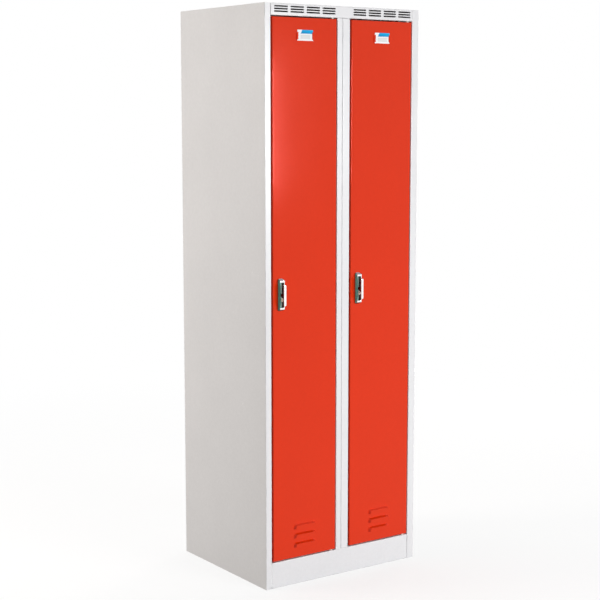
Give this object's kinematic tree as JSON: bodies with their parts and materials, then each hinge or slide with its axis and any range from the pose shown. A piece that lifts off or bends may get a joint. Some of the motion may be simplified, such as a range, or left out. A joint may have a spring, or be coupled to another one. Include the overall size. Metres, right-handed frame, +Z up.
{
  "type": "changing room locker",
  "caption": "Tall folded-steel clothes locker with side by side compartments, flush pivoting doors, quarter-turn padlock latches, hat shelves and hanging rails.",
  "frame": {"origin": "middle of the whole footprint on the floor, door grips included", "axes": "+Z up, -Y out of the doors, +X to the right when facing the doors"},
  "size_m": [0.6, 0.528, 1.83],
  "materials": {
    "white_paint": "smooth satin powder coat, pale warm grey",
    "red_paint": "smooth satin powder coat, flame red",
    "chrome": "polished chrome plate",
    "zinc": "bright zinc plate, slightly dull",
    "nylon": "natural off-white moulded nylon",
    "rubber": "matt black rubber",
    "label_card": "pale printed card, plain blue stripe along the top, no lettering"
  },
  "bodies": {
    "carcass": {"left_side_panel": "white_paint", "right_side_panel": "white_paint", "back_panel": "white_paint", "top_panel": "white_paint", "floor_panel": "white_paint", "centre_partition": "white_paint", "left_centre_post": "white_paint", "right_centre_post": "white_paint", "top_rail": "white_paint", "plinth": "white_paint", "rear_base_rail": "white_paint", "left_hat_shelf": "white_paint", "right_hat_shelf": "white_paint", "left_hanging_rail": "chrome", "right_hanging_rail": "chrome", "left_rail_outer_socket": "zinc", "left_rail_inner_socket": "zinc", "right_rail_outer_socket": "zinc", "right_rail_inner_socket": "zinc", "left_upper_bush": "nylon", "left_lower_bush": "nylon", "right_upper_bush": "nylon", "right_lower_bush": "nylon", "left_upper_buffer": "rubber", "left_lower_buffer": "rubber", "right_upper_buffer": "rubber", "right_lower_buffer": "rubber"},
    "left_door": {"left_door": "red_paint", "left_door_stiffener": "red_paint", "left_label_card": "label_card", "left_upper_pivot": "zinc", "left_lower_pivot": "zinc", "left_latch_housing": "chrome", "left_latch_back_nut": "zinc"},
    "right_door": {"right_door": "red_paint", "right_door_stiffener": "red_paint", "right_label_card": "label_card", "right_upper_pivot": "zinc", "right_lower_pivot": "zinc", "right_latch_housing": "chrome", "right_latch_back_nut": "zinc"},
    "left_latch": {"left_turn_grip": "chrome", "left_latch_tongue": "zinc", "left_tongue_washer": "zinc", "left_tongue_nut": "zinc"},
    "right_latch": {"right_turn_grip": "chrome", "right_latch_tongue": "zinc", "right_tongue_washer": "zinc", "right_tongue_nut": "zinc"}
  },
  "joints": [
    {"name": "left_door_swing", "type": "hinge", "parent": "carcass", "child": "left_door", "pos_m": [-0.0438, -0.229, 0.935], "axis": [0, 0, 1], "range_deg": [0, 110]},
    {"name": "right_door_swing", "type": "hinge", "parent": "carcass", "child": "right_door", "pos_m": [0.2562, -0.229, 0.935], "axis": [0, 0, 1], "range_deg": [0, 110]},
    {"name": "left_latch_turn", "type": "hinge", "parent": "left_door", "child": "left_latch", "pos_m": [-0.2445, -0.242, 0.9405], "axis": [0, -1, 0], "range_deg": [0, 90]},
    {"name": "right_latch_turn", "type": "hinge", "parent": "right_door", "child": "right_latch", "pos_m": [0.0555, -0.242, 0.9405], "axis": [0, -1, 0], "range_deg": [0, 90]}
  ]
}
